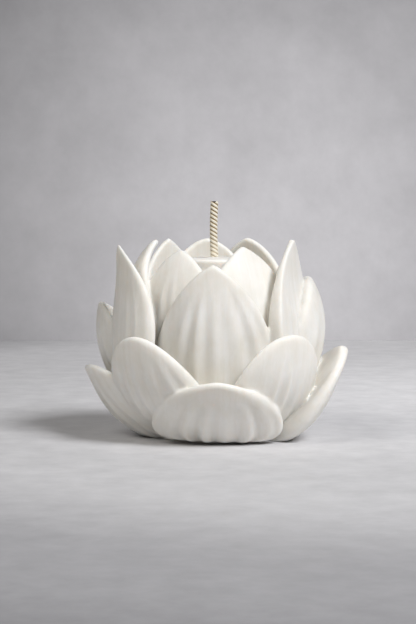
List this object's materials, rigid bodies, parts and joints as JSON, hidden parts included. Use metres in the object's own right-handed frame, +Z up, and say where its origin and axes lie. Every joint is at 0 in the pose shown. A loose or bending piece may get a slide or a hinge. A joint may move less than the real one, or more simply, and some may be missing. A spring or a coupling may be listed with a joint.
{
  "type": "lotus flower candle",
  "caption": "Wax candle cast in the shape of an open lotus flower, with ribbed petals around a flat-topped heart and a twisted cotton wick standing free at its centre.",
  "frame": {"origin": "centre of the flower's outline at the level of its flat foot, on the wick's axis", "axes": "+Z up along the wick, -Y towards the front low petal, +X along the flower's widest spread"},
  "size_m": [0.0894, 0.0812, 0.0807],
  "materials": {
    "wax": "white candle wax, cast, satin and slightly translucent",
    "wick": "twisted cotton cord soaked in wax, matte"
  },
  "bodies": {
    "root": {"wax_flower": "wax", "wick": "wick"}
  },
  "joints": []
}
